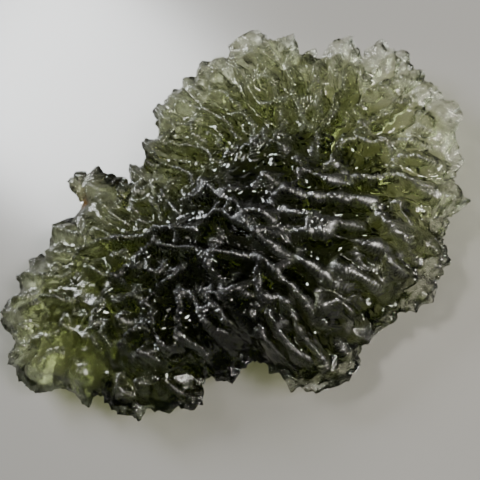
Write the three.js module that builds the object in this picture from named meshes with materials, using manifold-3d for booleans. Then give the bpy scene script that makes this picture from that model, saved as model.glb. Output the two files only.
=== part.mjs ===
// Moldavite: one natural piece of green glass, of the spiky hedgehog kind.
// Millimetres, +Z up. The stone lies on its underside, its long way along X.

import * as THREE from 'three';
import { ConvexHull } from 'three/addons/math/ConvexHull.js';
import { mergeVertices } from 'three/addons/utils/BufferGeometryUtils.js';
import Module from 'manifold-3d';

const wasm = await Module();
wasm.setup();

// Driving dimensions
const rimLevel = 2.6;       // height of the sharp edge that runs round the stone
const lobeTop = 3.3;        // top of the thin lobes, between their ridges
const massHeight = 4.3;     // how far the thick middle stands above the lobes
const hubHeight = 1.1;      // the swelling where the ridges meet
const shoulderHeight = 0.4; // the slope from the middle down to the right rim
const lobeSwell = 1.7;      // the left lobe is thicker than the upper one
const shelfHeight = 1.3;    // the shelf behind the hub
const ledgeTop = 6.3;       // the dark ledge on the left lobe
const bellyLevel = 0.75;    // underside between its ridges, at the middle
const bellyRise = 1.0;      // how much higher the underside is near the rim
const rightRise = 1.3;      // and how much more it rises to the right
const upperRise = 0.6;      // or to the upper right
const toothDraw = 0.25;     // how far the teeth are drawn out past the edge, at the left
const flakeDraw = 0.1;      // and at the right, where they are rounder flakes
const flakeThin = 0.6;      // how much thinner the clear flakes are
const bluntReach = 1.7;     // how far in from the rim the stone thins to its edge, at the left
const thinReach = 2.0;      // and at the right, where the rim is a clear flange
const wornLevel = -0.08;    // the lowest crests and the middle are worn flat here
const crestStep = 0.62;     // spacing of points along the crests
const fillStep = 0.59;      // spacing of points between the crests
const evenWave = 0.24;      // how uneven a crest's height is in the middle
const lobeWave = 0.8;       // and on the thin lobes
const crestScale = 1.45;    // height of a crest for its stated height
const crestHalf = 0.62;     // half its foot's width for its stated width
const underScale = 0.85;    // relief of the underside, for that of the top

// Edge of the stone with its teeth, clockwise from the spur at the upper left
const edge = [
  [-15.6, 14.5], [-14.3, 14.7], [-13.4, 14.1], [-12.2, 14.0], [-11.3, 13.1], [-9.9, 11.8],
  [-9.1, 10.8], [-8.6, 12.5], [-6.7, 11.7], [-6.5, 12.2], [-7.2, 15.3], [-5.4, 14.0],
  [-4.9, 14.9], [-5.1, 18.2], [-3.5, 17.6], [-3.0, 18.6], [-1.5, 17.8], [-1.1, 19.0],
  [0.3, 17.4], [1.2, 19.8], [2.0, 18.0], [3.1, 18.2], [3.8, 17.5], [4.6, 19.4], [5.8, 19.3],
  [6.7, 19.3], [7.7, 18.5], [7.7, 17.8], [8.8, 17.1], [9.8, 17.2], [10.1, 14.3], [11.3, 13.7],
  [11.5, 12.5], [12.3, 13.1], [13.2, 13.5], [13.9, 13.3], [14.7, 13.0], [14.8, 11.4],
  [14.7, 10.4], [16.1, 11.0], [16.9, 10.7], [17.2, 9.9], [17.9, 9.1], [18.2, 8.3], [18.0, 6.9],
  [18.6, 6.3], [18.5, 5.4], [18.9, 4.3], [19.0, 3.4], [19.6, 3.2], [19.9, 2.2], [19.7, 1.2],
  [19.0, 0.4], [18.5, -0.4], [18.6, -2.0], [18.1, -2.6], [17.1, -3.0], [17.5, -4.0],
  [17.5, -5.6], [16.3, -5.6], [15.6, -5.8], [15.5, -6.8], [14.7, -6.8], [14.9, -8.2],
  [14.7, -9.1], [13.7, -9.7], [12.9, -9.7], [13.0, -10.7], [12.1, -11.0], [10.7, -10.9],
  [10.1, -10.5], [9.6, -11.1], [8.8, -11.2], [7.9, -11.6], [6.9, -11.8], [6.2, -12.5],
  [6.1, -13.8], [4.9, -14.1], [4.0, -14.2], [2.7, -14.1], [1.9, -13.6], [0.9, -13.4],
  [0.5, -12.2], [-0.2, -11.3], [-0.9, -10.3], [-1.6, -9.8], [-2.8, -10.3], [-3.4, -10.8],
  [-4.5, -10.4], [-5.5, -9.7], [-6.5, -9.6], [-6.8, -11.0], [-7.9, -12.0], [-8.5, -11.0],
  [-9.7, -10.9], [-11.1, -10.7], [-11.5, -10.3], [-12.5, -10.8], [-13.2, -10.1], [-14.2, -10.0],
  [-15.0, -8.6], [-15.6, -7.6], [-17.0, -7.5], [-17.7, -7.8], [-18.7, -6.7], [-19.9, -5.4],
  [-21.3, -4.9], [-22.7, -4.8], [-23.6, -3.9], [-24.3, -2.8], [-24.5, -2.1], [-25.5, -0.8],
  [-25.4, 0.2], [-24.9, 0.5], [-25.3, 2.0], [-25.7, 3.3], [-25.1, 4.5], [-24.2, 5.2],
  [-23.5, 5.9], [-23.3, 7.1], [-22.1, 7.8], [-21.5, 8.9], [-20.2, 8.3], [-19.3, 9.1],
  [-19.3, 9.5], [-18.6, 9.9], [-18.7, 10.7], [-17.5, 10.9], [-15.6, 10.7], [-14.9, 11.0],
];

// Edge of the ledge that stands on the left lobe
const ledgeEdge = [
  [-1.5, -1.6], [-4.2, 0.6], [-7.6, -0.1], [-9.8, -0.3], [-11.8, -0.8], [-12.9, -1.9],
  [-13.3, -3.0], [-13.8, -4.2], [-13.5, -5.6], [-11.8, -7.2], [-9.8, -8.2], [-7.4, -9.2],
  [-4.2, -8.8], [-1.0, -8.2], [0.5, -5.5],
];

// Thin clear flakes on the rim, as swellings: [middle, half lengths, turn]
const flakes = [
  [[-14.4, 12.8], [1.9, 1.6], 0],
  [[13.4, 12.3], [1.9, 1.4], 0],
  [[17.2, 9.3], [1.9, 1.1], -45],
  [[18.9, 2.2], [1.3, 2.0], 0],
  [[17.9, -2.0], [1.1, 1.3], 0],
  [[15.4, -5.8], [1.6, 1.4], 0],
  [[12.0, -10.1], [2.6, 1.0], 0],
  [[8.4, -11.4], [1.6, 0.8], 0],
  [[3.4, -13.5], [3.4, 1.3], -8],
  [[-7.1, -11.1], [0.8, 1.3], 0],
  [[-12.3, -10.2], [1.7, 0.9], 0],
];

// Ridges on the top, as paths along their crests: [height, width, points]
const ridges = [
  // round the bowls beside the hub
  [1.1, 1.9, [[-0.6, 4.6], [0.9, 2.5], [1.8, 1.0], [2.6, -0.4], [3.7, -1.4], [5.2, -1.9]]],
  [1.3, 1.9, [[5.2, -1.9], [6.7, -1.7], [8.0, -2.5], [10.1, -3.2], [12.6, -4.3]]],
  [0.9, 1.6, [[0.9, 2.6], [1.8, 1.4], [2.8, 0.4], [4.4, 0.2]]],
  [0.6, 1.2, [[5.0, 0.5], [6.2, 0.6]]],
  [1.15, 1.5, [[5.3, -1.1], [6.8, -1.3], [7.9, -0.8], [8.3, 0.4], [7.9, 2.0]]],
  [1.0, 2.0, [[7.9, 2.2], [6.7, 3.8], [4.8, 4.7], [3.2, 5.6], [1.8, 5.4]]],
  [0.8, 1.6, [[8.4, 3.6], [6.8, 5.4], [4.9, 6.5], [3.0, 6.9]]],
  [1.3, 2.2, [[8.2, 1.2], [8.9, -0.6], [9.8, -1.7], [11.0, -1.5]]],
  // to the right of the hub
  [1.05, 1.6, [[8.9, 2.2], [9.9, 3.6], [11.1, 4.9], [12.2, 6.4], [13.1, 8.0], [14.3, 10.0]]],
  [1.05, 1.6, [[9.8, -0.2], [10.9, 1.4], [11.8, 3.2]]],
  [0.9, 1.5, [[11.7, 3.2], [12.8, 1.5], [14.6, 0.6], [16.8, -0.6]]],
  [0.9, 1.5, [[12.0, 3.2], [14.2, 3.0], [16.2, 3.4], [17.8, 4.0]]],
  [1.15, 1.6, [[10.4, -0.5], [11.9, -2.0], [14.3, -2.7], [15.1, -4.2], [15.8, -5.2]]],
  [0.9, 1.4, [[14.2, -0.9], [15.6, -1.5], [17.2, -2.2]]],
  [0.8, 1.4, [[13.4, 5.6], [15.4, 5.6], [17.4, 6.2]]],
  [1.3, 1.4, [[13.5, -4.0], [13.4, -5.5], [14.0, -7.2], [13.9, -8.2]]],
  [1.4, 1.4, [[11.6, -4.3], [12.1, -5.4], [12.7, -6.8], [13.0, -8.2]]],
  [1.2, 1.3, [[13.9, -1.8], [14.6, -3.1], [15.0, -4.4]]],
  [1.3, 1.8, [[5.8, -2.7], [7.5, -3.8], [8.8, -5.0], [10.2, -5.2]]],
  [1.45, 1.8, [[5.8, -4.0], [7.3, -5.0], [8.9, -5.9], [10.5, -7.1], [12.0, -7.8]]],
  // from the hub towards the near side
  [1.3, 1.6, [[2.4, -0.8], [2.3, -1.7], [3.3, -3.0], [4.4, -4.6], [5.2, -6.0]]],
  [1.15, 1.4, [[2.6, -0.8], [3.5, -1.7], [3.7, -3.0], [4.7, -4.2], [5.6, -4.6]]],
  [1.3, 1.7, [[4.2, -1.8], [5.0, -2.8], [5.3, -3.6]]],
  [1.0, 1.5, [[2.2, -0.8], [0.7, -1.3], [-0.8, -1.9]]],
  [0.7, 1.2, [[0.0, -2.9], [1.0, -2.7]]],
  [1.2, 1.9, [[-4.7, -0.2], [-3.4, -1.4], [-2.2, -2.2], [-0.8, -3.1], [0.4, -3.9], [2.8, -4.8]]],
  [1.45, 1.9, [[2.8, -4.8], [3.8, -5.9], [4.6, -7.2], [5.1, -9.2], [5.5, -11.2]]],
  [1.3, 1.8, [[-0.7, -3.5], [-0.2, -4.3], [-0.5, -5.3]]],
  // down the near side
  [1.2, 1.7, [[-2.9, -5.0], [-2.4, -7.2], [-2.6, -9.4]]],
  [1.1, 1.5, [[-1.7, -5.6], [-1.2, -7.2], [-0.9, -8.8]]],
  [1.2, 1.6, [[-0.2, -5.5], [0.1, -7.4], [0.2, -9.8]]],
  [1.1, 1.5, [[1.0, -5.4], [1.2, -7.6], [1.1, -9.8], [1.4, -11.6]]],
  [1.2, 1.6, [[2.5, -5.8], [2.6, -7.6], [2.2, -9.4], [2.6, -12.2]]],
  [1.3, 1.6, [[3.6, -7.6], [3.8, -9.8], [4.1, -12.4]]],
  [1.15, 1.4, [[5.7, -6.0], [6.6, -7.2], [7.3, -8.2], [8.6, -8.8]]],
  [1.3, 1.5, [[6.0, -8.4], [6.2, -10.2], [6.6, -11.8]]],
  [1.3, 1.5, [[7.8, -6.8], [8.9, -8.2], [9.7, -9.3], [9.8, -10.6]]],
  [1.45, 1.6, [[9.1, -6.6], [9.7, -8.1], [10.8, -9.4]]],
  [1.15, 1.4, [[7.2, -9.0], [7.4, -10.8]]],
  [1.15, 1.5, [[11.0, -8.0], [12.2, -9.4]]],
  [0.7, 1.2, [[8.0, -3.4], [9.4, -3.4], [9.8, -4.2]]],
  [1.05, 1.3, [[11.2, -7.6], [12.6, -7.2], [13.8, -6.8], [13.0, -7.8]]],
  // short ribs just inside the right rim
  [0.6, 1.2, [[17.0, 2.8], [18.0, 1.0], [18.6, -0.2]]],
  [0.6, 1.2, [[16.4, 1.8], [17.6, 0.0], [18.0, -1.2]]],
  [0.6, 1.2, [[15.4, -3.2], [16.2, -4.2], [17.0, -4.4]]],
  [0.6, 1.2, [[14.8, -5.4], [16.0, -6.4]]],
  [0.6, 1.2, [[10.6, -9.4], [11.6, -10.0], [12.4, -10.0]]],
  [0.6, 1.2, [[10.6, -10.4], [11.6, -10.6], [12.6, -10.8]]],
  [0.6, 1.2, [[7.6, -11.2], [8.4, -11.8]]],
  [0.6, 1.2, [[13.0, 1.2], [13.8, 0.4], [14.8, 0.2]]],
  [0.6, 1.2, [[12.4, 4.4], [13.4, 5.4]]],
  [0.5, 1.2, [[13.4, 8.6], [14.0, 9.6]]],
  // over the back, from the hub and the shelf to the upper lobe
  [0.9, 1.7, [[2.0, -0.2], [0.6, 1.2], [-1.0, 2.2], [-2.4, 3.4]]],
  [0.8, 1.5, [[-6.4, 13.6], [-4.2, 11.6], [-1.6, 9.6], [0.6, 7.4], [0.4, 5.2]]],
  [0.8, 1.5, [[-7.8, 11.4], [-5.4, 9.8], [-3.0, 8.0], [-1.4, 5.8], [-0.8, 2.8]]],
  [0.7, 1.4, [[-4.6, 16.2], [-3.0, 13.8], [-0.8, 11.6], [1.2, 9.4]]],
  [0.8, 1.5, [[-2.7, 17.0], [-1.0, 14.6], [1.0, 12.2], [2.6, 9.6], [3.2, 7.6]]],
  [0.7, 1.4, [[-0.8, 17.6], [0.4, 15.2], [1.6, 13.6]]],
  [0.8, 1.5, [[1.1, 18.8], [1.8, 16.0], [3.2, 13.0], [4.2, 10.0], [4.8, 7.6]]],
  [0.7, 1.4, [[2.9, 17.8], [3.4, 15.4]]],
  [0.8, 1.5, [[4.6, 19.0], [4.8, 15.6], [5.4, 12.0], [6.0, 8.8]]],
  [0.8, 1.5, [[6.4, 18.8], [6.8, 15.6], [7.4, 12.0], [7.4, 8.4], [7.0, 6.6]]],
  [0.8, 1.4, [[8.0, 16.8], [8.2, 14.2]]],
  [0.9, 1.5, [[9.8, 15.6], [9.4, 12.6], [9.0, 9.6], [8.8, 6.0]]],
  [0.9, 1.5, [[11.9, 13.0], [11.4, 10.6], [10.8, 8.2], [10.2, 6.0]]],
  [0.8, 1.4, [[14.6, 12.2], [13.0, 10.6], [12.0, 9.0]]],
  // short ridges that cross between them
  [0.7, 1.2, [[-6.0, 10.6], [-5.0, 11.6], [-4.0, 11.4]]],
  [0.7, 1.2, [[-4.8, 12.4], [-3.4, 12.0], [-2.2, 12.6]]],
  [0.7, 1.2, [[-3.6, 14.2], [-2.2, 14.8], [-1.0, 14.2]]],
  [0.75, 1.3, [[-1.4, 11.8], [0.2, 12.1], [1.8, 11.4]]],
  [0.7, 1.2, [[-2.4, 9.6], [-1.0, 10.4], [0.4, 9.6]]],
  [0.8, 1.3, [[1.6, 14.2], [2.9, 13.1], [4.4, 12.8]]],
  [0.7, 1.2, [[1.8, 16.4], [3.0, 15.6], [4.4, 15.8]]],
  [0.7, 1.2, [[2.4, 10.8], [3.4, 10.4], [4.6, 9.4]]],
  [0.7, 1.2, [[5.0, 16.4], [6.0, 15.6], [7.0, 16.0]]],
  [0.7, 1.2, [[5.4, 13.4], [6.4, 12.6], [7.6, 12.8]]],
  [0.75, 1.3, [[6.2, 9.0], [7.3, 9.8], [8.8, 8.8]]],
  [0.7, 1.2, [[8.2, 11.8], [9.6, 11.4], [10.8, 12.0]]],
  [0.7, 1.2, [[11.0, 8.2], [12.4, 9.0], [13.6, 8.6]]],
  [0.7, 1.2, [[9.6, 13.8], [10.6, 12.8], [11.6, 12.4]]],
  [0.6, 1.2, [[14.0, 7.0], [15.2, 7.6], [16.6, 7.2]]],
  // the left lobe
  [1.0, 1.7, [[-1.0, -0.8], [-2.4, -0.2], [-4.0, 0.8], [-6.2, 2.0]]],
  [1.0, 1.7, [[-6.2, 2.0], [-9.0, 3.2], [-11.8, 4.2], [-13.8, 4.3], [-15.4, 3.4]]],
  [0.8, 1.4, [[-2.8, 2.2], [-3.8, 4.6], [-4.4, 7.0]]],
  [0.8, 1.4, [[-5.0, 3.2], [-5.4, 6.0], [-5.8, 8.8]]],
  [0.8, 1.4, [[-6.8, 3.6], [-7.6, 6.2], [-7.4, 9.2]]],
  [0.8, 1.4, [[-8.4, 4.6], [-10.2, 7.0], [-12.0, 10.4]]],
  [0.8, 1.4, [[-10.2, 4.6], [-12.4, 6.6], [-14.0, 9.0]]],
  [0.7, 1.4, [[-12.2, 5.4], [-15.0, 7.4], [-16.8, 9.4]]],
  [0.7, 1.3, [[-15.2, 5.2], [-17.2, 6.4], [-18.8, 7.6]]],
  [0.7, 1.3, [[-16.0, 3.0], [-18.6, 4.4], [-21.0, 6.2]]],
  [0.9, 1.5, [[-15.4, 0.2], [-16.6, 1.0], [-18.2, 1.9], [-19.8, 1.6], [-21.4, 1.9], [-23.0, 2.8]]],
  [0.7, 1.4, [[-20.2, 3.2], [-21.8, 3.6], [-23.6, 3.4]]],
  [0.6, 1.3, [[-20.8, 0.7], [-22.2, 0.2], [-23.6, 0.7]]],
  [0.55, 1.3, [[-21.4, -0.9], [-22.8, -1.2], [-24.4, -1.3]]],
  [0.35, 1.2, [[-22.4, -2.6], [-23.2, -3.4]]],
  [0.35, 1.2, [[-18.4, -5.0], [-19.0, -6.0]]],
  [0.5, 1.3, [[-15.8, -5.4], [-16.6, -6.4], [-17.4, -7.2]]],
  [0.5, 1.2, [[-14.2, -6.6], [-14.6, -8.4]]],
  [0.6, 1.2, [[-17.4, 1.2], [-18.0, -0.4]]],
  [0.45, 1.3, [[-13.8, 2.9], [-12.6, 2.3], [-11.8, 1.2]]],
  [0.4, 1.2, [[-11.0, 2.9], [-10.0, 2.1], [-8.8, 1.9]]],
  [0.4, 1.2, [[-16.2, -1.0], [-17.4, -1.8], [-18.8, -1.9]]],
  [0.35, 1.2, [[-17.4, -3.6], [-18.8, -3.2], [-20.2, -3.5]]],
  [0.6, 1.2, [[-19.4, 3.4], [-17.8, 3.2], [-16.6, 3.8]]],
  [0.6, 1.1, [[-18.0, 4.6], [-16.8, 5.2]]],
  [0.6, 1.2, [[-14.0, 12.6], [-12.4, 11.6], [-10.6, 9.6]]],
  [0.7, 1.1, [[-8.6, 10.2], [-9.2, 8.6], [-9.6, 7.2]]],
  [0.6, 1.1, [[-6.4, 8.0], [-6.6, 6.4]]],
  // on and round the ledge
  [1.1, 1.6, [[-4.0, 0.3], [-5.8, 0.0], [-7.8, -0.4], [-9.8, -0.7], [-11.6, -1.2]]],
  [1.0, 1.6, [[-11.6, -1.2], [-12.5, -2.1], [-12.9, -3.2], [-13.3, -4.3], [-13.0, -5.5]]],
  [0.9, 1.5, [[-13.0, -5.6], [-11.5, -6.8], [-9.6, -7.7]]],
  [0.8, 1.4, [[-10.8, -2.0], [-9.4, -2.7], [-7.8, -2.4]]],
  [0.8, 1.3, [[-6.4, -1.4], [-5.4, -2.4], [-4.2, -2.6]]],
  [0.9, 1.5, [[-2.0, -3.2], [-3.6, -3.4], [-5.0, -3.6], [-6.8, -3.9], [-8.8, -4.8]]],
  [1.1, 1.4, [[-3.8, -4.0], [-4.0, -5.8], [-4.6, -7.2], [-4.5, -9.0]]],
  [1.1, 1.4, [[-6.2, -4.2], [-7.0, -6.0], [-6.5, -7.6], [-6.0, -9.2]]],
  [0.9, 1.5, [[-7.6, -5.2], [-9.4, -5.7], [-11.0, -6.2]]],
  [0.8, 1.4, [[-8.2, -6.4], [-8.7, -8.2], [-8.3, -10.0], [-7.7, -11.6]]],
  [0.7, 1.3, [[-10.6, -8.2], [-11.2, -9.8]]],
  [0.7, 1.3, [[-12.6, -7.2], [-12.6, -8.6], [-13.0, -9.6]]],
  [0.7, 1.2, [[-9.8, -7.2], [-9.4, -8.6], [-9.6, -10.6]]],
  [0.7, 1.2, [[-6.4, -9.0], [-6.4, -11.0]]],
  [0.8, 1.3, [[-11.8, -3.0], [-11.8, -4.4], [-12.0, -5.6]]],
  [0.7, 1.2, [[-10.6, -3.2], [-9.8, -4.6]]],
  [0.8, 1.3, [[-7.6, -1.4], [-5.4, -0.6]]],
];

// a number between 0 and 1 that is always the same for the same n
function chance(n) {
  const value = Math.sin(n * 12.9898 + 4.137) * 43758.5453;
  return value - Math.floor(value);
}

// a flat-topped swelling, 1 in its middle and 0 far off
function swelling(x, y, [cx, cy], [long, wide], turn, steep) {
  const angle = THREE.MathUtils.degToRad(turn);
  const u = (x - cx) * Math.cos(angle) + (y - cy) * Math.sin(angle);
  const v = (y - cy) * Math.cos(angle) - (x - cx) * Math.sin(angle);
  const reach = (u / long) ** 2 + (v / wide) ** 2;
  return 1 / (1 + reach ** steep);
}

function nearest(ax, ay, bx, by, x, y) {
  const [ux, uy] = [bx - ax, by - ay];
  const share = ((x - ax) * ux + (y - ay) * uy) / (ux * ux + uy * uy);
  const held = THREE.MathUtils.clamp(share, 0, 1);
  return [Math.hypot(x - ax - ux * held, y - ay - uy * held), held];
}

function distanceTo(outline, x, y) {
  let least = Infinity;
  outline.forEach(([ax, ay], i) => {
    const [bx, by] = outline[(i + 1) % outline.length];
    least = Math.min(least, nearest(ax, ay, bx, by, x, y)[0]);
  });
  return least;
}

function inside(outline, x, y) {
  let within = false;
  outline.forEach(([ax, ay], i) => {
    const [bx, by] = outline[(i + 1) % outline.length];
    if (ay > y !== by > y && x < (bx - ax) * (y - ay) / (by - ay) + ax) {
      within = !within;
    }
  });
  return within;
}

// each side broken into short lengths that step in and out a little
function rough(outline, longest, depth) {
  const points = [];
  outline.forEach(([ax, ay], i) => {
    const [bx, by] = outline[(i + 1) % outline.length];
    const long = Math.hypot(bx - ax, by - ay);
    const parts = Math.max(1, Math.round(long / longest));
    for (let k = 0; k < parts; k += 1) {
      const share = k / parts;
      const out = k === 0 ? 0 : depth * (chance(i * 7 + k) - 0.65);
      points.push([
        ax + (bx - ax) * share - (by - ay) / long * out,
        ay + (by - ay) * share + (bx - ax) / long * out,
      ]);
    }
  });
  return points;
}

// tips drawn out and notches cut in, as far as each corner is sharp
function sharpen(outline) {
  return outline.map(([x, y], i) => {
    const [ax, ay] = outline.at(i - 1);
    const [bx, by] = outline[(i + 1) % outline.length];
    const turn = (x - ax) * (by - y) - (y - ay) * (bx - x);
    const long = Math.hypot(bx - ax, by - ay);
    const most = THREE.MathUtils.lerp(toothDraw, flakeDraw, THREE.MathUtils.smoothstep(x, 3, 9));
    const far = most * Math.tanh(-turn / (long * 0.9));
    return [x - (by - ay) / long * far, y + (bx - ax) / long * far];
  });
}

const toothed = sharpen(edge);
const rim = rough(toothed, 0.7, 0.3);

// every tooth carries a short bent rib, faint on the smooth near edge of the left lobe
function ribs(outline) {
  const found = [];
  outline.forEach(([x, y], i) => {
    const [ax, ay] = outline.at(i - 1);
    const [bx, by] = outline[(i + 1) % outline.length];
    const turn = (x - ax) * (by - y) - (y - ay) * (bx - x);
    const sharp = -turn / (Math.hypot(x - ax, y - ay) * Math.hypot(bx - x, by - y));
    if (sharp > 0.45) {
      const inward = new THREE.Vector2((ax + bx) / 2 - x, (ay + by) / 2 - y).normalize();
      const smooth = x < -13.5 && y < -1.5;
      const long = smooth ? 1.1 : 1.5 + 1.7 * chance(i);
      const high = smooth ? 0.25 : 0.4 + 0.25 * chance(i * 5);
      const bend = 0.7 * (chance(i * 3) - 0.5);
      found.push([high, 1.6, [
        [x, y],
        [x + inward.x * long / 2 - inward.y * bend, y + inward.y * long / 2 + inward.x * bend],
        [x + inward.x * long, y + inward.y * long],
      ]]);
    }
  });
  return found;
}

// fine ribs across the clear flange that runs round the right side
function crinkles(outline) {
  const found = [];
  outline.forEach(([x, y], i) => {
    if (i % 2 === 0 && (x > 3 || y > 14)) {
      const [ax, ay] = outline.at(i - 1);
      const [bx, by] = outline[(i + 1) % outline.length];
      const inward = new THREE.Vector2(by - ay, ax - bx).normalize();
      const long = 1.0 + 1.4 * chance(i * 11);
      const lean = 0.8 * (chance(i * 17) - 0.5);
      found.push([0.3 + 0.35 * chance(i * 13), 1.0, [
        [x + inward.x * 0.3, y + inward.y * 0.3],
        [x + inward.x * long - inward.y * lean, y + inward.y * long + inward.x * lean],
      ]]);
    }
  });
  return found;
}

// 0 on the thick middle and 1 on the thin lobes
function thinness(x, y) {
  return 1 - swelling(x, y, [3, -4], [12, 6.5], -10, 3);
}

// crest paths as curves, with points at even steps along them
const crests = [...ridges, ...ribs(toothed), ...crinkles(rim)].map(([high, wide, path], n) => {
  const curve = new THREE.CatmullRomCurve3(
    path.map(([x, y]) => new THREE.Vector3(x, y, 0)), false, 'centripetal');
  const steps = Math.max(2, Math.round(curve.getLength() / crestStep));
  const points = curve.getSpacedPoints(steps).map((p) => [p.x, p.y]);
  return { high, half: wide * crestHalf, points, seed: n + 1 };
});

// how far the crests stand up at a point: sharp on top, hollow down the flanks
function crestHeight(x, y, face) {
  const thin = thinness(x, y);
  let most = 0;
  crests.forEach(({ high, half, points, seed }) => {
    const last = points.length - 1;
    for (let i = 0; i < last; i += 1) {
      const [distance, share] = nearest(...points[i], ...points[i + 1], x, y);
      if (distance < half) {
        const along = (i + share) / last;
        const ends = Math.min(1, 0.3 + 3.2 * Math.min(along, 1 - along));
        const wave = THREE.MathUtils.lerp(
          chance(seed * 31 + i * face), chance(seed * 31 + (i + 1) * face), share);
        const uneven = THREE.MathUtils.lerp(evenWave, lobeWave, thin);
        const tall = crestScale * high * ends * (1 + uneven * (wave - 0.5));
        most = Math.max(most, tall * (1 - distance / half) ** 1.5);
      }
    }
  });
  return most;
}

function crown(x, y) {
  const mass = massHeight * swelling(x, y, [1.2, -2.5], [9.2, 6.5], -10, 2.0);
  const hub = hubHeight * swelling(x, y, [1.0, -0.5], [4.5, 3.5], 0, 1.4);
  const shoulder = shoulderHeight * swelling(x, y, [8, -3], [7, 5.5], -20, 1.8);
  const shelf = shelfHeight * swelling(x, y, [5, 3.4], [3.8, 2.2], -20, 2.2);
  const lobe = lobeSwell * swelling(x, y, [-15.5, -1], [7.5, 6.5], 0, 2);
  return lobeTop + 0.03 * y + mass + hub + shoulder + shelf + lobe;
}

function ledge(x, y) {
  if (!inside(ledgeEdge, x, y)) {
    return 0;
  }
  const round = Math.min(1, distanceTo(ledgeEdge, x, y) / 0.9) ** 0.6;
  return (ledgeTop + 0.09 * (x + 6)) * round;
}

function belly(x, y) {
  const reach = (x + 2) ** 2 / 330 + (y - 1) ** 2 / 190;
  const worn = 1.1 * swelling(x, y, [0.5, -1.5], [2.6, 1.9], 25, 3);
  const most = THREE.MathUtils.lerp(rightRise, upperRise, THREE.MathUtils.smoothstep(y, 0, 7));
  const right = most * THREE.MathUtils.smoothstep(x, 6, 14);
  return bellyLevel + bellyRise * Math.min(1.4, reach ** 1.5) + right - worn;
}

function edgeHeight(x, y) {
  return rimLevel + 0.35 * Math.sin(0.42 * x + 0.6) + 0.3 * Math.sin(0.5 * y - 0.4 * x);
}

// how far the faces have risen from the sharp edge, 0 on it and 1 well inside
function roundness(x, y) {
  const reach = THREE.MathUtils.lerp(bluntReach, thinReach, THREE.MathUtils.smoothstep(x, -4, 8));
  const share = Math.min(1, distanceTo(rim, x, y) / reach);
  const thinnest = Math.max(...flakes.map((flake) => swelling(x, y, ...flake, 2)));
  return (0.35 * share + 0.65 * THREE.MathUtils.smoothstep(share, 0, 1)) * (1 - flakeThin * thinnest);
}

// points on the plan: the rim, the crests, then a loose grid that keeps clear of both
const plan = rim.map((p) => [...p]);
const clear = (x, y, gap) => plan.every(([px, py]) => Math.hypot(px - x, py - y) > gap);
crests.forEach(({ points }) => {
  points.forEach(([x, y]) => {
    if (inside(rim, x, y) && distanceTo(rim, x, y) > 0.25 && clear(x, y, 0.34)) {
      plan.push([x, y]);
    }
  });
});
for (let row = 0, y = -16; y < 21; row += 1, y += fillStep * 0.866) {
  for (let column = 0, x = -26; x < 21; column += 1, x += fillStep) {
    const px = x + (row % 2) * fillStep / 2 + 0.3 * (chance(row * 91 + column) - 0.5);
    const py = y + 0.3 * (chance(row * 57 + column * 3) - 0.5);
    const gap = crestHeight(px, py, 1) > 0 ? 0.46 : 0.72;
    if (inside(rim, px, py) && distanceTo(rim, px, py) > 0.36 && clear(px, py, gap)) {
      plan.push([px, py]);
    }
  }
}

// triangles between the plan points: the lower hull of the points lifted to a bowl
function weave(points) {
  const lifted = points.map(([x, y], i) => {
    const p = new THREE.Vector3(x, y, (x * x + y * y) / 10);
    p.index = i;
    return p;
  });
  const hull = new ConvexHull().setFromPoints(lifted);
  const triangles = [];
  hull.faces.forEach((face) => {
    const corners = [face.edge, face.edge.next, face.edge.next.next]
      .map((side) => side.head().point.index);
    const x = corners.reduce((sum, c) => sum + points[c][0], 0) / 3;
    const y = corners.reduce((sum, c) => sum + points[c][1], 0) / 3;
    if (face.normal.z < 0 && inside(rim, x, y)) {
      triangles.push(corners);
    }
  });
  return triangles;
}

// points on the open border of the weave, where the two faces meet
function borderOf(woven) {
  const sides = new Set(woven.flatMap(([a, b, c]) => [`${a} ${b}`, `${b} ${c}`, `${c} ${a}`]));
  const border = new Set();
  sides.forEach((side) => {
    const [a, b] = side.split(' ');
    if (!sides.has(`${b} ${a}`)) {
      border.add(Number(a)).add(Number(b));
    }
  });
  return border;
}

const triangles = weave(plan);
const border = borderOf(triangles);
const count = plan.length;
const top = plan.map(([x, y], i) => {
  const low = edgeHeight(x, y);
  if (border.has(i)) {
    return [x, y, low + 0.3 * (chance(i * 3) - 0.5)];
  }
  const round = roundness(x, y);
  const body = Math.max(crown(x, y), ledge(x, y)) - 0.4;
  const rise = (body - low) * round + crestHeight(x, y, 1) * Math.sqrt(round);
  return [x, y, low + Math.max(rise, 0.15 + 0.3 * round)];
});
const under = plan.map(([x, y]) => {
  const low = edgeHeight(x, y);
  const round = roundness(x, y);
  const drop = (low - belly(x, y)) * round + underScale * crestHeight(x, y, 2) * Math.sqrt(round);
  return [x, y, low - Math.max(drop, 0.15)];
});

// the underside shares the border's points with the top
const below = (i) => (border.has(i) ? i : i + count);
const faces = triangles.flatMap(([a, b, c]) => [
  [a, c, b],
  [below(a), below(b), below(c)],
]);

function solid(geometry) {
  geometry.deleteAttribute('normal');
  geometry.deleteAttribute('uv');
  const merged = mergeVertices(geometry, 1e-5);
  return new wasm.Manifold(new wasm.Mesh({
    numProp: 3,
    vertProperties: new Float32Array(merged.attributes.position.array),
    triVerts: new Uint32Array(merged.index.array),
  }));
}

const skin = new THREE.BufferGeometry();
skin.setAttribute('position', new THREE.Float32BufferAttribute([...top, ...under].flat(), 3));
skin.setIndex(faces.flat());
const ground = new THREE.BoxGeometry(80, 80, 10);
ground.translate(0, 0, wornLevel - 5);
const mesh = solid(skin).subtract(solid(ground)).getMesh();

const geometry = new THREE.BufferGeometry();
geometry.setAttribute('position', new THREE.BufferAttribute(mesh.vertProperties, 3));
geometry.setIndex(new THREE.BufferAttribute(mesh.triVerts, 1));
geometry.computeVertexNormals();
geometry.computeBoundingBox();
const box = geometry.boundingBox;
geometry.translate(-(box.min.x + box.max.x) / 2, -(box.min.y + box.max.y) / 2, -box.min.z);

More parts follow.
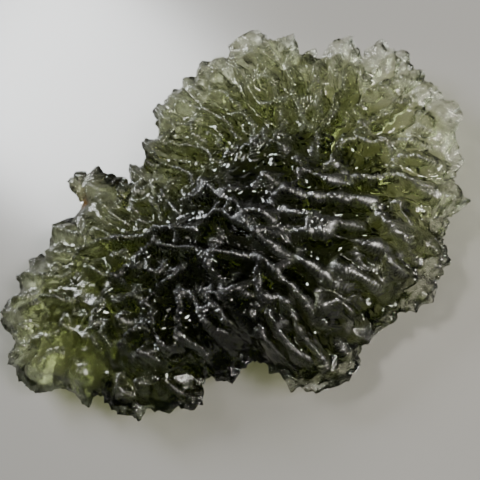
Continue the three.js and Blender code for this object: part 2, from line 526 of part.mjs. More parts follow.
const glass = new THREE.MeshStandardMaterial({ color: 0x3c4a18, roughness: 0.15, metalness: 0 });
const moldavite = new THREE.Mesh(geometry, glass);
moldavite.name = 'moldavite';

const part = new THREE.Group();
part.add(moldavite);
export default part;
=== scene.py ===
import math
import bmesh
import bpy
import numpy as np
from mathutils import Matrix, Vector
from mathutils.kdtree import KDTree


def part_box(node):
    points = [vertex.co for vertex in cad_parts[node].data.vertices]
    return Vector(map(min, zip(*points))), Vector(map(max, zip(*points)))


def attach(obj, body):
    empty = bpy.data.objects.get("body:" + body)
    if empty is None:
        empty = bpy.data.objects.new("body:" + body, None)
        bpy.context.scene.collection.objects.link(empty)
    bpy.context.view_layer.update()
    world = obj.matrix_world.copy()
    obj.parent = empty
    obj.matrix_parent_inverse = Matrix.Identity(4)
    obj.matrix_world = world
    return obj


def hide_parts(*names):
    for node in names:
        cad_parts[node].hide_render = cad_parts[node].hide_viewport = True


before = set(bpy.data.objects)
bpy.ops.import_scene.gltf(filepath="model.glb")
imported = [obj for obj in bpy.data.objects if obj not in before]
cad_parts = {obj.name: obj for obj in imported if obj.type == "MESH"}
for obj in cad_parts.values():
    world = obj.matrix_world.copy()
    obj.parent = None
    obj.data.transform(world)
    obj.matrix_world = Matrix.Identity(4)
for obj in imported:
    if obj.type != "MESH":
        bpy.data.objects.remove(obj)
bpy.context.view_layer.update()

mm = 0.001

# the CAD stone's faces are smoothed into glass, with its crests kept
stoneForm = {
    "weld": 1e-7,              # metres, corners closer than this are one
    "crestAngle": 42.0,        # degrees, an edge that bends more than this is a crest
    "crestLeast": 1.6 * mm,    # shorter bits of crest are left to soften
    "restEdge": 0.1 * mm,      # and so are the borders of the flats that it rests on
    "crestLift": 0.12 * mm,    # what the smoothing would take off a crest
    "rounds": 2,               # each round makes four faces of one
    "crestHardness": 0.65,     # after the first round: 1 is a knife edge, 0 melts away
    "sagSteps": 6,             # how far the scoops sag between the crests
    "sagPull": 0.5,
    "carveSteps": 24,          # how broad the relief is that gets deepened
    "carvePull": 0.6,
    "carve": 0.45,             # and by how much
    "carveFrom": 0.5 * mm,     # in from the rim, where that begins
    "carveBlend": 1.5 * mm,    # and how gently it does
    "rimEdge": 0.05 * mm,      # a crest no further in than this is the rim itself
    "sole": 0.7 * mm,          # the lowest part is pressed up until only its tips touch
}


def longCrests(points, crests):
    # joined edges share a number, and only the long runs of them are kept
    group = np.arange(len(points))
    while True:
        least = np.minimum(group[crests[:, 0]], group[crests[:, 1]])
        joined = group.copy()
        np.minimum.at(joined, crests[:, 0], least)
        np.minimum.at(joined, crests[:, 1], least)
        if (joined == group).all():
            break
        group = joined
    length = np.linalg.norm(points[crests[:, 0]] - points[crests[:, 1]], axis=1)
    total = np.bincount(group[crests[:, 0]], length, len(points))
    return crests[total[group[crests[:, 0]]] > stoneForm["crestLeast"]]


def mergedCad(node):
    bm = bmesh.new()
    bm.from_mesh(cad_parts[node].data)
    bmesh.ops.remove_doubles(bm, verts=bm.verts, dist=stoneForm["weld"])
    bm.verts.index_update()
    points = np.array([v.co for v in bm.verts], float)
    faces = np.array([[v.index for v in f.verts] for f in bm.faces], int)
    least = math.radians(stoneForm["crestAngle"])
    crests = np.array([[e.verts[0].index, e.verts[1].index] for e in bm.edges
                       if e.calc_face_angle_signed(0.0) > least
                       and max(v.co.z for v in e.verts) > stoneForm["restEdge"]], int)
    outward = np.array([v.normal for v in bm.verts], float)
    bm.free()
    crests = longCrests(points, np.sort(crests, axis=1))
    lifted = np.unique(crests)
    points[lifted] += outward[lifted] * stoneForm["crestLift"]
    return points, faces, crests


def keyOf(pairs, count):
    pairs = np.sort(pairs, axis=1)
    return pairs[:, 0] * count + pairs[:, 1]


def edgesOf(faces, count):
    corners = faces[:, [0, 1, 1, 2, 2, 0]].reshape(-1, 2)
    keys, place = np.unique(keyOf(corners, count), return_inverse=True)
    return np.stack([keys // count, keys % count], axis=1), place.reshape(-1, 3), keys


def refined(points, faces, crests, hardness):
    # Loop's own weights: crests keep to their line, and the faces between them are smoothed
    count = len(points)
    edges, edgeOfFace, keys = edgesOf(faces, count)
    isCrest = np.isin(keys, keyOf(crests, count))
    a, b = edges.T
    opposite = np.zeros((len(edges), 3))
    for side, corner in enumerate((2, 0, 1)):
        np.add.at(opposite, edgeOfFace[:, side], points[faces[:, corner]])
    middle = (points[a] + points[b]) / 2
    soft = middle * 0.75 + opposite / 8
    weight = np.where(isCrest, hardness, 0.0)[:, None]
    edgePoints = middle * weight + soft * (1 - weight)

    valence = np.zeros(count)
    around = np.zeros((count, 3))
    onCrest = np.zeros(count)
    along = np.zeros((count, 3))
    for one, other in ((a, b), (b, a)):
        np.add.at(valence, one, 1)
        np.add.at(around, one, points[other])
        np.add.at(onCrest, one[isCrest], 1)
        np.add.at(along, one[isCrest], points[other[isCrest]])
    beta = np.where(valence > 3, 3 / (8 * valence), 3 / 16)[:, None]
    soft = points * (1 - valence[:, None] * beta) + around * beta
    line = points * 0.75 + along / 8
    firm = np.where((onCrest == 2)[:, None], line, points)
    weight = np.where(onCrest >= 2, hardness, 0.0)[:, None]
    corners = firm * weight + soft * (1 - weight)

    ab, bc, ca = (edgeOfFace + count).T
    v0, v1, v2 = faces.T
    newFaces = np.concatenate([np.stack(t, axis=1) for t in
                               ((v0, ab, ca), (v1, bc, ab), (v2, ca, bc), (ab, bc, ca))])
    middles = np.nonzero(isCrest)[0]
    newCrests = np.concatenate([np.stack([edges[middles, end], middles + count], axis=1)
                                for end in (0, 1)])
    return np.concatenate([corners, edgePoints]), newFaces, newCrests


def relaxed(points, faces, free, steps, pull):
    count = len(points)
    a, b = edgesOf(faces, count)[0].T
    valence = np.bincount(np.concatenate([a, b]), minlength=count)[:, None]
    for step in range(steps):
        around = np.stack([np.bincount(a, points[b, k], count) + np.bincount(b, points[a, k], count)
                           for k in range(3)], axis=1)
        points = points + (around / valence - points) * pull * free[:, None]
    return points


def fromRim(points, faces, crests):
    # how far each point lies from the sharp rim, where an upper face meets a lower one
    count = len(points)
    edges, edgeOfFace, keys = edgesOf(faces, count)
    a, b, c = (points[faces[:, k]] for k in range(3))
    rises = np.cross(b - a, c - a)[:, 2] > 0
    ups = np.bincount(edgeOfFace[rises].ravel(), minlength=len(edges))
    onRim = edges[(ups == 1) & np.isin(keys, keyOf(crests, count))]
    rimPoints = np.unique(onRim)
    tree = KDTree(len(rimPoints))
    for n in rimPoints:
        tree.insert(points[n], n)
    tree.balance()
    return np.array([tree.find(p)[2] for p in points])


def carved(points, faces, inward):
    every = np.ones(len(points))
    broad = relaxed(points, faces, every, stoneForm["carveSteps"], stoneForm["carvePull"])
    share = np.clip((inward - stoneForm["carveFrom"]) / stoneForm["carveBlend"], 0, 1)
    return points + (points - broad) * (stoneForm["carve"] * share)[:, None]


def seated(points):
    # the lowest layer is squeezed to the sole's height, and all of it kept in the solid's box
    low, high = (np.array(c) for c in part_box("moldavite"))
    bottom = points[:, 2].min()
    top = low[2] + stoneForm["sole"]
    share = (points[:, 2] - bottom) / (top - bottom)
    points[:, 2] = np.where(share < 1, low[2] + share * stoneForm["sole"], points[:, 2])
    return np.clip(points, low, high)


def makeStone():
    points, faces, crests = mergedCad("moldavite")
    for level in range(stoneForm["rounds"]):
        hardness = 1.0 if level == 0 else stoneForm["crestHardness"]
        points, faces, crests = refined(points, faces, crests, hardness)
    free = np.ones(len(points))
    free[crests.ravel()] = 0
    points = relaxed(points, faces, free, stoneForm["sagSteps"], stoneForm["sagPull"])
    inward = fromRim(points, faces, crests)
    points = carved(points, faces, inward)
    mesh = bpy.data.meshes.new("roughForm")
    mesh.from_pydata(points.tolist(), [], faces.tolist())
    mesh.update()
    mesh.shade_smooth()
    ends = np.zeros(len(mesh.edges) * 2, int)
    mesh.edges.foreach_get("vertices", ends)
    ends = ends.reshape(-1, 2)
    onCrest = np.isin(keyOf(ends, len(points)), keyOf(crests, len(points)))
    onRim = onCrest & (inward[ends] < stoneForm["rimEdge"]).all(axis=1)
    onCrest &= ~onRim      # the rim stays sharp and gets no rod
    mesh.attributes.new("crest", "BOOLEAN", "EDGE").data.foreach_set("value", onCrest)
    mesh.attributes.new("sharp_edge", "BOOLEAN", "EDGE").data.foreach_set("value", onRim)
    mesh.attributes.new("inward", "FLOAT", "POINT").data.foreach_set("value", inward / mm)
    rough = bpy.data.objects.new("roughForm", mesh)
    bpy.context.scene.collection.objects.link(rough)
    print("stone:", len(faces), "triangles,", int(onCrest.sum()), "crest edges")
    return rough


glassLook = {
    "ior": 1.49,
    "clearColour": (0.95, 0.96, 0.92),
    "shadowColour": (0.7, 0.72, 0.62, 1),
    "absorbColour": (0.47, 0.50, 0.25),
    "absorbDensity": 490.0,    # per metre
    "scoopRoughness": 0.04,
    "lobeRoughness": 0.12,     # the thin lobes shine more softly
    "crestRoughness": 0.16,
    "bloom": 0.32,             # frosty sheen along the crests
    "fanBloom": 0.85,          # and how much more of it the right fan has
    "bloomNarrow": 1.7,        # higher keeps it to the very top of a crest
    "fanBroad": 0.7,           # and how much less narrow it is in the fan
    "combDepth": 0.55,         # how far the flutes break it into strokes
    "bloomRoughness": 0.42,
    "bloomIor": 2.2,
    "fluteDepth": 0.04 * mm,
    "grainSize": 0.42 * mm,
    "grainDepth": 0.006 * mm,  # in the thick of the stone
    "rimGrain": 0.16 * mm,     # at the rim, which is rougher
    "grainReach": 3.2,         # mm in from the rim, where that has faded
    "lobeGrain": 0.45,         # how much of it the thin lobes have all over
    "rimWidth": 1.6,           # mm, flutes and sheen fade out over the clear rim
    "duskTint": (0.10, 0.105, 0.08),   # the rim is dull on the left, clear on the right
    "duskFrom": 5.0,           # mm along X where that begins
    "duskTo": -4.0,
    "duskWidth": 2.6,          # mm in from the rim
    "paintedShadeTint": (0.06, 0.067, 0.05),   # painted shade: darker glass in the thick middle, standing in for the shade of its deep relief
    "paintedShadeSpots": ((-4.5, -8.2, 4.0, 10.5),     # x, y, z and reach in mm
                  (3.0, -5.5, 5.0, 14.0),
                  (1.0, -11.0, 3.0, 7.5)),
    "creaseShadeTint": (0.22, 0.23, 0.19),    # painted shade along crinkle creases in the clear rim
    "creaseShadeSize": 0.9 * mm,
    "creaseShadeWidth": 0.05,
    "spurTint": (0.30, 0.29, 0.17),    # the spur is browner than the rest
    "spurPlace": (-11.1, 9.9, 2.9),
    "spurReach": 2.6,
    "stainTint": (0.42, 0.17, 0.02),   # and has an ochre stain at its foot
    "stainPlace": (-11.2, 8.6, 2.7),
    "stainReach": 1.3,
}


def feed(tree, socket, value):
    if isinstance(value, bpy.types.NodeSocket):
        tree.links.new(value, socket)
    else:
        socket.default_value = value


def addNode(tree, kind, *values, **settings):
    # the values go to the node's first sockets
    node = tree.nodes.new(kind)
    for name, setting in settings.items():
        setattr(node, name, setting)
    for socket, value in zip(node.inputs, values):
        feed(tree, socket, value)
    return node


def maths(tree, operation, *values, clamp=False):
    return addNode(tree, "ShaderNodeMath", *values, operation=operation, use_clamp=clamp).outputs[0]


def vectors(tree, operation, *values, scale=None):
    node = addNode(tree, "ShaderNodeVectorMath", *values, operation=operation)
    if scale is not None:
        feed(tree, node.inputs["Scale"], scale)
    return node.outputs["Value" if operation in ("DISTANCE", "LENGTH") else "Vector"]


def faded(tree, value, start, end, low=0.0, high=1.0, curve="SMOOTHSTEP"):
    # low as far as the start, high from the end on
    return addNode(tree, "ShaderNodeMapRange", value, start, end, low, high,
                   interpolation_type=curve).outputs["Result"]


def noise(tree, size, where=None, seed=None, detail=2.0, rough=0.5):
    node = addNode(tree, "ShaderNodeTexNoise", noise_dimensions="3D" if seed is None else "4D")
    inverse = maths(tree, "DIVIDE", 1.0, size) if isinstance(size, bpy.types.NodeSocket) else 1 / size
    feed(tree, node.inputs["Scale"], inverse)
    node.inputs["Detail"].default_value = detail
    node.inputs["Roughness"].default_value = rough
    if where is not None:
        feed(tree, node.inputs["Vector"], where)
    if seed is not None:
        feed(tree, node.inputs["W"], seed)
    return node


def named(tree, name):
    return addNode(tree, "ShaderNodeAttribute", attribute_name=name).outputs["Fac"]


def patch(tree, where, place, reach):
    # 1 at the place, fading to 0 at its reach, both in mm
    apart = vectors(tree, "DISTANCE", where, [c * mm for c in place])
    return faded(tree, apart, reach * mm, 0.0)


def tinted(tree, under, colour, share):
    mix = tree.nodes.new("ShaderNodeMix")
    mix.data_type = "RGBA"
    first, second = [i for i in mix.inputs if i.type == "RGBA"]
    feed(tree, mix.inputs[0], share)
    feed(tree, first, (*under, 1) if isinstance(under, tuple) else under)
    second.default_value = (*colour, 1)
    return [o for o in mix.outputs if o.type == "RGBA"][0]


def glassTint(tree, where, look):
    # painted shade along the rim's creases and a dull left rim, then painted shade in the thick middle,
    # then browner and stained places
    split = addNode(tree, "ShaderNodeSeparateXYZ", where)
    left = faded(tree, split.outputs["X"], look["duskFrom"] * mm, look["duskTo"] * mm)
    edge = maths(tree, "DIVIDE", named(tree, "inward"), look["duskWidth"], clamp=True)
    outer = maths(tree, "SUBTRACT", 1.0, maths(tree, "MULTIPLY", edge, edge))
    dusk = maths(tree, "MULTIPLY", outer, left)
    # painted shade: dark lines along noise creases, strongest at the rim and fading inward
    crease = noise(tree, look["creaseShadeSize"], where, detail=3.0, rough=0.6).outputs["Fac"]
    crease = maths(tree, "ABSOLUTE", maths(tree, "SUBTRACT", crease, 0.5))
    crease = maths(tree, "DIVIDE", crease, look["creaseShadeWidth"], clamp=True)
    creaseShade = maths(tree, "MULTIPLY", maths(tree, "SUBTRACT", 1.0, crease),
                 maths(tree, "SUBTRACT", 1.0, edge))
    tint = tinted(tree, look["clearColour"], look["creaseShadeTint"], creaseShade)
    tint = tinted(tree, tint, look["duskTint"], dusk)
    # painted shade: the thick middle is darkened in these spots
    for *place, reach in look["paintedShadeSpots"]:
        tint = tinted(tree, tint, look["paintedShadeTint"], patch(tree, where, place, reach))
    for spot in ("spur", "stain"):
        share = patch(tree, where, look[spot + "Place"], look[spot + "Reach"])
        tint = tinted(tree, tint, look[spot + "Tint"], share)
    return tint


def frostWeight(tree, near, stroke, look):
    # the sheen lies on top of the crests, wider and stronger in the fan, in short strokes
    fan = named(tree, "fan")
    narrow = maths(tree, "MULTIPLY_ADD", fan, -look["fanBroad"], look["bloomNarrow"])
    bloom = maths(tree, "MULTIPLY_ADD", fan, look["fanBloom"], look["bloom"])
    comb = maths(tree, "MULTIPLY_ADD", stroke, look["combDepth"] / 2, 1 - look["combDepth"] / 2)
    frost = maths(tree, "MULTIPLY", maths(tree, "POWER", near, narrow), bloom)
    return maths(tree, "MULTIPLY", frost, comb)


def glassRoughness(tree, near, look):
    smooth = maths(tree, "MULTIPLY_ADD", named(tree, "lobe"),
                   look["lobeRoughness"] - look["scoopRoughness"], look["scoopRoughness"])
    return maths(tree, "MAXIMUM", smooth, maths(tree, "MULTIPLY", near, look["crestRoughness"]))


def etchedHeight(tree, where, near, stroke, look):
    # flutes across the crests, and a grain that is coarser at the rim and on the lobes, in mm
    cut = maths(tree, "MULTIPLY", maths(tree, "MULTIPLY", stroke, near), look["fluteDepth"] / mm)
    inner = maths(tree, "DIVIDE", named(tree, "inward"), look["grainReach"], clamp=True)
    lobes = maths(tree, "MULTIPLY", named(tree, "lobe"), look["lobeGrain"])
    share = maths(tree, "MAXIMUM", maths(tree, "SUBTRACT", 1.0, inner), lobes)
    depth = maths(tree, "MULTIPLY_ADD", share, (look["rimGrain"] - look["grainDepth"]) / mm,
                  look["grainDepth"] / mm)
    grain = noise(tree, look["grainSize"], where, detail=4.0, rough=0.6).outputs["Fac"]
    return maths(tree, "ADD", cut, maths(tree, "MULTIPLY", grain, depth))


def makeGlass():
    look = glassLook
    material = bpy.data.materials.new("greenGlass")
    material.use_nodes = True
    tree = material.node_tree
    tree.nodes.clear()
    surface = tree.nodes.new("ShaderNodeBsdfPrincipled")
    surface.inputs["IOR"].default_value = look["ior"]
    surface.inputs["Transmission Weight"].default_value = 1.0
    surface.inputs["Coat Roughness"].default_value = look["bloomRoughness"]
    surface.inputs["Coat IOR"].default_value = look["bloomIor"]

    where = tree.nodes.new("ShaderNodeTexCoord").outputs["Object"]
    inner = maths(tree, "DIVIDE", named(tree, "inward"), look["rimWidth"], clamp=True)
    near = maths(tree, "MULTIPLY", named(tree, "crestNear"), inner)
    turns = maths(tree, "MULTIPLY", named(tree, "fluteRun"), 2 * math.pi)
    stroke = maths(tree, "SINE", turns)
    feed(tree, surface.inputs["Base Color"], glassTint(tree, where, look))
    feed(tree, surface.inputs["Coat Weight"], frostWeight(tree, near, stroke, look))
    feed(tree, surface.inputs["Roughness"], glassRoughness(tree, near, look))
    bump = tree.nodes.new("ShaderNodeBump")
    bump.inputs["Distance"].default_value = mm
    feed(tree, bump.inputs["Height"], etchedHeight(tree, where, near, stroke, look))
    feed(tree, surface.inputs["Normal"], bump.outputs[0])

    depth = tree.nodes.new("ShaderNodeVolumeAbsorption")
    depth.inputs["Color"].default_value = (*look["absorbColour"], 1)
    depth.inputs["Density"].default_value = look["absorbDensity"]
    path = tree.nodes.new("ShaderNodeLightPath")
    clear = tree.nodes.new("ShaderNodeBsdfTransparent")
    clear.inputs["Color"].default_value = look["shadowColour"]
    mix = addNode(tree, "ShaderNodeMixShader", path.outputs["Is Shadow Ray"],
                  surface.outputs[0], clear.outputs[0])
    output = tree.nodes.new("ShaderNodeOutputMaterial")
    feed(tree, output.inputs["Surface"], mix.outputs[0])
    feed(tree, output.inputs["Volume"], depth.outputs[0])
    print("glass:", len(tree.nodes), "nodes")
    return material


# what the etching left along the crests and in the open places between them
crestFlutes = {
    "Step": 0.04 * mm,         # how finely a crest is followed
    "Reach": 0.5 * mm,         # how far down its flanks
    "Flute Pitch": 0.27 * mm,
    "Rod Radius": 0.38 * mm,   # a crest is rounded like a rod on top
    "Rod Height": 0.17 * mm,
    "Rod Least": 0.25,         # the rods come and go between these two shares
    "Rod Most": 1.2,
    "Waver Size": 1.6 * mm,    # the length over which they do
    "Waver Low": 0.35,         # noise values where that begins and ends
    "Waver High": 0.6,
    "Bead Pitch": 0.7 * mm,
    "Bead Height": 0.09 * mm,
    "Bead Waver": 1.4,         # turns by which the beads stray from an even pitch
    "Fan Place": (12.5 * mm, -8.0 * mm, 4.0 * mm),
    "Fan Reach": 11.0 * mm,    # the rods of the right fan are fatter
    "Fan Swell": 0.6,
    "Fan Fins": 1.5,           # and its fins are deeper
    "Middle": (5.0 * mm, -5.0 * mm, 6.0 * mm),
    "Lobes From": 7.8 * mm,    # the thin lobes begin this far from the middle
    "Lobes To": 18.2 * mm,
    "Lobe Rods": 0.4,          # how much of the rods is left on them
    "Lobe Fins": 0.4,
    "Lobe Relief": 0.85,       # and of the rest of the relief
    "Under Relief": 0.3,       # the underside is calmer too
    "Under From": -0.3,        # the normal's height where it begins and ends
    "Under To": 0.2,
    "Scallop Size": 1.7 * mm,  # shallow bowls etched between the crests
    "Scallop Depth": 0.40 * mm,
    "Scallop Reach": 0.9 * mm,
    "Scallop Least": 0.12,     # how much of them there is on a crest
    "Scallop Lip": 0.3,        # higher makes more of each a hollow
    "Scallop Spread": 0.9,
    "Wander Size": 2.5 * mm,   # they stray by this much over this length
    "Wander": 1.2 * mm,
    "Wrinkle Size": 0.85 * mm,
    "Wrinkle Depth": 0.14 * mm,
    "Wrinkle Width": 0.12,
    "Crest Wrinkle": 0.7,      # how deep they are on a crest
    "Open Wrinkle": 1.5,       # and how much deeper far from one
    "Hub Place": (3.9 * mm, -3.0 * mm, 0.0),
    "Fin Size": 0.9 * mm,      # fine fins that run out from the hub, this wide where
    "Fin Radius": 8.0 * mm,    # they are this far out
    "Fin Length": 0.25,        # lower draws them out longer
    "Fin Depth": 0.45 * mm,
    "Fin Width": 0.1,
    "Rim Reach": 1.6,          # mm in from the rim, where its edge is crinkled
    "Rim Size": 0.8 * mm,
    "Rim Depth": 1.3 * mm,
    "Seed": 5.0,
}
noiseGain = 4.0                # a noise seldom strays more than a quarter from its middle


def readValue(tree, name, kind="FLOAT"):
    node = addNode(tree, "GeometryNodeInputNamedAttribute", data_type=kind)
    node.inputs["Name"].default_value = name
    return node.outputs["Attribute"]


def storeValue(tree, geometry, name, value):
    node = addNode(tree, "GeometryNodeStoreNamedAttribute", geometry, data_type="FLOAT", domain="POINT")
    node.inputs["Name"].default_value = name
    feed(tree, node.inputs["Value"], value)
    return node.outputs["Geometry"]


def sampled(tree, dots, value, index, kind="FLOAT"):
    node = addNode(tree, "GeometryNodeSampleIndex", data_type=kind, domain="POINT")
    for name, source in (("Geometry", dots), ("Value", value), ("Index", index)):
        feed(tree, node.inputs[name], source)
    return node.outputs[0]


def nearestCrest(tree, given, place):
    # every crest becomes a curve that knows how far along it is
    lines = addNode(tree, "GeometryNodeMeshToCurve", given["Geometry"],
                    readValue(tree, "crest", "BOOLEAN"))
    fine = addNode(tree, "GeometryNodeResampleCurve", mode="LENGTH")
    feed(tree, fine.inputs["Curve"], lines.outputs["Curve"])
    feed(tree, fine.inputs["Length"], given["Step"])
    along = tree.nodes.new("GeometryNodeSplineParameter").outputs["Length"]
    measured = storeValue(tree, fine.outputs["Curve"], "run", along)
    dots = addNode(tree, "GeometryNodeCurveToPoints", mode="EVALUATED")
    feed(tree, dots.inputs["Curve"], measured)
    # and each point of the skin reads the one that it lies nearest to
    dots = dots.outputs["Points"]
    nearest = addNode(tree, "GeometryNodeSampleNearest", dots, domain="POINT").outputs["Index"]
    run = sampled(tree, dots, readValue(tree, "run"), nearest)
    top = sampled(tree, dots, place, nearest, "FLOAT_VECTOR")
    return run, vectors(tree, "DISTANCE", place, top)


def creasesOf(tree, value, width, depth):
    # narrow ridges where a noise crosses its middle value
    off = maths(tree, "ABSOLUTE", maths(tree, "SUBTRACT", value, 0.5))
    return maths(tree, "MULTIPLY", maths(tree, "SUBTRACT", width, off),
                 maths(tree, "MULTIPLY", depth, noiseGain))


def rodRelief(tree, given, run, away, near, fan):
    # a rounded back along each crest, with beads on it that come and go
    waver = noise(tree, given["Waver Size"], seed=given["Seed"]).outputs["Fac"]
    loose = maths(tree, "MULTIPLY", waver, maths(tree, "MULTIPLY", given["Bead Waver"], 2 * math.pi))
    turns = maths(tree, "MULTIPLY", maths(tree, "DIVIDE", run, given["Bead Pitch"]), 2 * math.pi)
    ripple = maths(tree, "SINE", maths(tree, "ADD", turns, loose))
    high = maths(tree, "MULTIPLY", given["Bead Height"], maths(tree, "MULTIPLY", waver, 2.0))
    beads = maths(tree, "MULTIPLY", ripple, maths(tree, "MULTIPLY", near, high))
    swell = maths(tree, "ADD", maths(tree, "MULTIPLY", fan, given["Fan Swell"]), 1.0)
    broad = maths(tree, "MULTIPLY", given["Rod Radius"], swell)
    slope = maths(tree, "MINIMUM", maths(tree, "DIVIDE", away, broad), 1.0)
    arch = maths(tree, "SQRT", maths(tree, "SUBTRACT", 1.0, maths(tree, "MULTIPLY", slope, slope)))
    tall = maths(tree, "MULTIPLY", given["Rod Height"], swell)
    comes = faded(tree, waver, given["Waver Low"], given["Waver High"],
                  given["Rod Least"], given["Rod Most"], curve="LINEAR")
    return beads, maths(tree, "MULTIPLY", maths(tree, "MULTIPLY", tall, arch), comes)


def finRelief(tree, given, place, fan):
    # creases on rings round the hub, drawn out along the way from it
    level = vectors(tree, "MULTIPLY", vectors(tree, "SUBTRACT", place, given["Hub Place"]), (1, 1, 0))
    radius = vectors(tree, "LENGTH", level)
    ring = vectors(tree, "SCALE", vectors(tree, "NORMALIZE", level), scale=given["Fin Radius"])
    lift = tree.nodes.new("ShaderNodeCombineXYZ")
    feed(tree, lift.inputs["Z"], maths(tree, "MULTIPLY", radius, given["Fin Length"]))
    around = vectors(tree, "ADD", ring, lift.outputs[0])
    streak = noise(tree, given["Fin Size"], around, given["Seed"], detail=1.0).outputs["Fac"]
    spread = maths(tree, "MINIMUM", maths(tree, "DIVIDE", radius, given["Fin Radius"]), 1.0)
    keen = maths(tree, "ADD", maths(tree, "MULTIPLY", fan, given["Fan Fins"]), 1.0)
    return maths(tree, "MULTIPLY", creasesOf(tree, streak, given["Fin Width"], given["Fin Depth"]),
                 maths(tree, "MULTIPLY", keen, spread))


def openRelief(tree, given, place, away):
    # bowls and wrinkles, deeper the further they lie from a crest
    openly = faded(tree, away, 0.0, given["Scallop Reach"], given["Scallop Least"])
    stray = noise(tree, given["Wander Size"]).outputs["Color"]
    cells = addNode(tree, "ShaderNodeTexVoronoi", voronoi_dimensions="4D", feature="F1")
    feed(tree, cells.inputs["Vector"], vectors(tree, "MULTIPLY_ADD", stray, given["Wander"], place))
    feed(tree, cells.inputs["Scale"], maths(tree, "DIVIDE", 1.0, given["Scallop Size"]))
    feed(tree, cells.inputs["W"], given["Seed"])
    feed(tree, cells.inputs["Randomness"], given["Scallop Spread"])
    bowl = maths(tree, "POWER", cells.outputs["Distance"], 2.0)
    bowl = maths(tree, "SUBTRACT", bowl, given["Scallop Lip"])
    scallops = maths(tree, "MULTIPLY", bowl, maths(tree, "MULTIPLY", openly, given["Scallop Depth"]))
    fold = noise(tree, given["Wrinkle Size"], seed=given["Seed"]).outputs["Fac"]
    wrinkles = creasesOf(tree, fold, given["Wrinkle Width"], given["Wrinkle Depth"])
    deeper = maths(tree, "ADD", maths(tree, "MULTIPLY", openly, given["Open Wrinkle"]),
                   given["Crest Wrinkle"])
    return maths(tree, "ADD", scallops, maths(tree, "MULTIPLY", wrinkles, deeper))


def rimCrinkle(tree, given):
    # the edge strays in all directions, so it gets fine teeth
    close = faded(tree, readValue(tree, "inward"), given["Rim Reach"], 0.0)
    jagged = noise(tree, given["Rim Size"], seed=given["Seed"], detail=3.0, rough=0.65)
    about = vectors(tree, "SUBTRACT", jagged.outputs["Color"], (0.5, 0.5, 0.5))
    return vectors(tree, "SCALE", about, scale=maths(tree, "MULTIPLY", close, given["Rim Depth"]))


def fluteTree(material):
    tree = bpy.data.node_groups.new("crestFlutes", "GeometryNodeTree")
    tree.is_modifier = True
    tree.interface.new_socket("Geometry", in_out="INPUT", socket_type="NodeSocketGeometry")
    for name, value in crestFlutes.items():
        kind = "NodeSocketVector" if isinstance(value, tuple) else "NodeSocketFloat"
        tree.interface.new_socket(name, in_out="INPUT", socket_type=kind)
    tree.interface.new_socket("Geometry", in_out="OUTPUT", socket_type="NodeSocketGeometry")
    given = tree.nodes.new("NodeGroupInput").outputs
    place = tree.nodes.new("GeometryNodeInputPosition").outputs[0]
    normal = tree.nodes.new("GeometryNodeInputNormal").outputs["Normal"]

    run, away = nearestCrest(tree, given, place)
    near = faded(tree, away, 0.0, given["Reach"], 1.0, 0.0)
    fan = faded(tree, vectors(tree, "DISTANCE", place, given["Fan Place"]),
                0.0, given["Fan Reach"], 1.0, 0.0)
    lobe = faded(tree, vectors(tree, "DISTANCE", place, given["Middle"]),
                 given["Lobes From"], given["Lobes To"])
    flute = maths(tree, "DIVIDE", run, given["Flute Pitch"])
    skin = given["Geometry"]
    for name, value in (("fluteRun", flute), ("crestNear", near), ("fan", fan), ("lobe", lobe)):
        skin = storeValue(tree, skin, name, value)      # the glass reads these

    def thinned(relief, share):
        # all of it in the middle, and only the share on the lobes
        lost = maths(tree, "MULTIPLY", lobe, maths(tree, "SUBTRACT", 1.0, share))
        return maths(tree, "MULTIPLY", relief, maths(tree, "SUBTRACT", 1.0, lost))

    beads, rods = rodRelief(tree, given, run, away, near, fan)
    rods = thinned(rods, given["Lobe Rods"])
    fins = thinned(finRelief(tree, given, place, fan), given["Lobe Fins"])
    hollows = thinned(openRelief(tree, given, place, away), given["Lobe Relief"])
    relief = maths(tree, "ADD", maths(tree, "ADD", beads, rods), maths(tree, "ADD", fins, hollows))
    facing = addNode(tree, "ShaderNodeSeparateXYZ", normal).outputs["Z"]
    under = faded(tree, facing, given["Under From"], given["Under To"], given["Under Relief"])
    push = vectors(tree, "SCALE", normal, scale=maths(tree, "MULTIPLY", relief, under))
    moved = addNode(tree, "GeometryNodeSetPosition", skin)
    feed(tree, moved.inputs["Offset"], vectors(tree, "ADD", push, rimCrinkle(tree, given)))
    real = addNode(tree, "GeometryNodeRealizeInstances", moved.outputs["Geometry"])
    painted = addNode(tree, "GeometryNodeSetMaterial", real.outputs["Geometry"])
    painted.inputs["Material"].default_value = material
    feed(tree, tree.nodes.new("NodeGroupOutput").inputs[0], painted.outputs["Geometry"])
    return tree


def fluted(rough, material):
    modifier = rough.modifiers.new("crestFlutes", "NODES")
    modifier.node_group = fluteTree(material)
    for item in modifier.node_group.interface.items_tree:
        if item.in_out == "INPUT" and item.name in crestFlutes:
            modifier[item.identifier] = crestFlutes[item.name]
    seen = rough.evaluated_get(bpy.context.evaluated_depsgraph_get())
    mesh = bpy.data.meshes.new_from_object(seen)
    mesh.name = "stone"
    places = np.zeros(len(mesh.vertices) * 3)
    mesh.vertices.foreach_get("co", places)
    mesh.vertices.foreach_set("co", seated(places.reshape(-1, 3)).ravel())
    mesh.update()
    finished = bpy.data.objects.new("stone", mesh)
    bpy.data.objects.remove(rough)
    bpy.context.scene.collection.objects.link(finished)
    print("flutes:", len(mesh.polygons), "faces")
    return finished


stone = fluted(makeStone(), makeGlass())
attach(stone, "root")
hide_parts("moldavite")


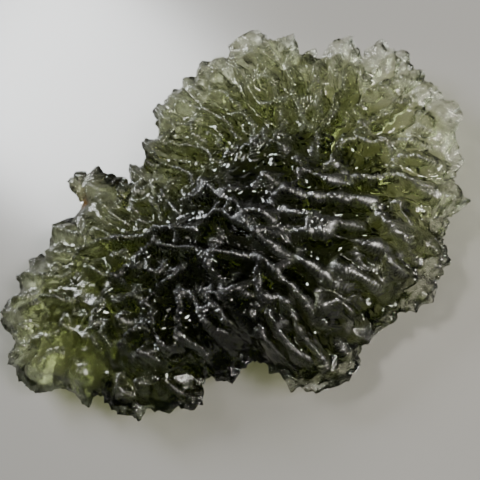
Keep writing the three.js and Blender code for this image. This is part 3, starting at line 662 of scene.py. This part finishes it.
setLook = {
    "floorReach": 3.0,                 # metres from the middle to each side
    "floorColour": (0.28, 0.275, 0.26, 1),
    "floorRoughness": 0.24,
    "worldColour": (0.93, 0.96, 1.0, 1),
    "worldStrength": 0.03,
    "windowSize": (0.125, 0.14),
    "windowPower": 1.4,
    "windowColour": (0.95, 0.98, 1.0),
    "windowFrom": (121, 36, 0.33),     # azimuth and height in degrees, distance in metres
    "lampSize": (0.12, 0.12),
    "lampPower": 0.2,
    "lampColour": (1.0, 0.95, 0.86),
    "lampFrom": (112, 71, 0.35),
    "fillSize": (0.09, 0.09),
    "fillPower": 1.9,
    "fillColour": (1.0, 0.96, 0.90),
    "fillFrom": (-28, 34, 0.35),
}


def plainMaterial(name, colour, roughness):
    material = bpy.data.materials.new(name)
    material.use_nodes = True
    shader = material.node_tree.nodes["Principled BSDF"]
    shader.inputs["Base Color"].default_value = colour
    shader.inputs["Roughness"].default_value = roughness
    return material


def makeFloor():
    mesh = bpy.data.meshes.new("floor")
    r = setLook["floorReach"]
    mesh.from_pydata([(-r, -r, 0), (r, -r, 0), (r, r, 0), (-r, r, 0)], [], [(0, 1, 2, 3)])
    paper = plainMaterial("palePaper", setLook["floorColour"], setLook["floorRoughness"])
    mesh.materials.append(paper)
    floor = bpy.data.objects.new("floor", mesh)
    bpy.context.scene.collection.objects.link(floor)


def direction(azimuth, height):
    a, h = math.radians(azimuth), math.radians(height)
    return Vector((math.cos(a) * math.cos(h), math.sin(a) * math.cos(h), math.sin(h)))


def makeLight(name):
    azimuth, height, distance = setLook[name + "From"]
    lamp = bpy.data.lights.new(name, "AREA")
    lamp.shape = "RECTANGLE"
    lamp.size, lamp.size_y = setLook[name + "Size"]
    lamp.energy = setLook[name + "Power"]
    lamp.color = setLook[name + "Colour"]
    place = direction(azimuth, height) * distance
    holder = bpy.data.objects.new(name, lamp)
    holder.location = place
    holder.rotation_euler = (-place).to_track_quat("-Z", "Y").to_euler()
    bpy.context.scene.collection.objects.link(holder)


def makeWorld():
    world = bpy.data.worlds.new("room")
    world.use_nodes = True
    background = world.node_tree.nodes["Background"]
    background.inputs["Color"].default_value = setLook["worldColour"]
    background.inputs["Strength"].default_value = setLook["worldStrength"]
    bpy.context.scene.world = world


cameraView = {
    "turn": 124,               # degrees, the way it looks across the floor
    "down": 55,
    "roll": 35,
    "aim": (3.10, -2.68, 3.1),         # mm
    "away": 59,                # mm from there
    "lens": 54,
    "sensor": 36,
    "clipStart": 2 * mm,
}


def makeCamera():
    turn, down, roll = (math.radians(cameraView[k]) for k in ("turn", "down", "roll"))
    ahead = Vector((math.cos(turn), math.sin(turn), 0))
    up = Vector((0, 0, 1))
    across = ahead.cross(up)
    view = ahead * math.cos(down) - up * math.sin(down)
    tall = ahead * math.sin(down) + up * math.cos(down)
    right = across * math.sin(roll) - tall * math.cos(roll)
    top = across * math.cos(roll) + tall * math.sin(roll)
    lens = bpy.data.cameras.new("camera")
    lens.lens = cameraView["lens"]
    lens.sensor_width = cameraView["sensor"]
    lens.clip_start = cameraView["clipStart"]
    camera = bpy.data.objects.new("camera", lens)
    place = Matrix((right, top, -view)).transposed().to_4x4()
    place.translation = Vector(cameraView["aim"]) * mm - view * cameraView["away"] * mm
    camera.matrix_world = place
    bpy.context.scene.collection.objects.link(camera)
    bpy.context.scene.camera = camera


makeFloor()
makeWorld()
for light in ("window", "lamp", "fill"):
    makeLight(light)
makeCamera()
print("set: floor, lights and camera")
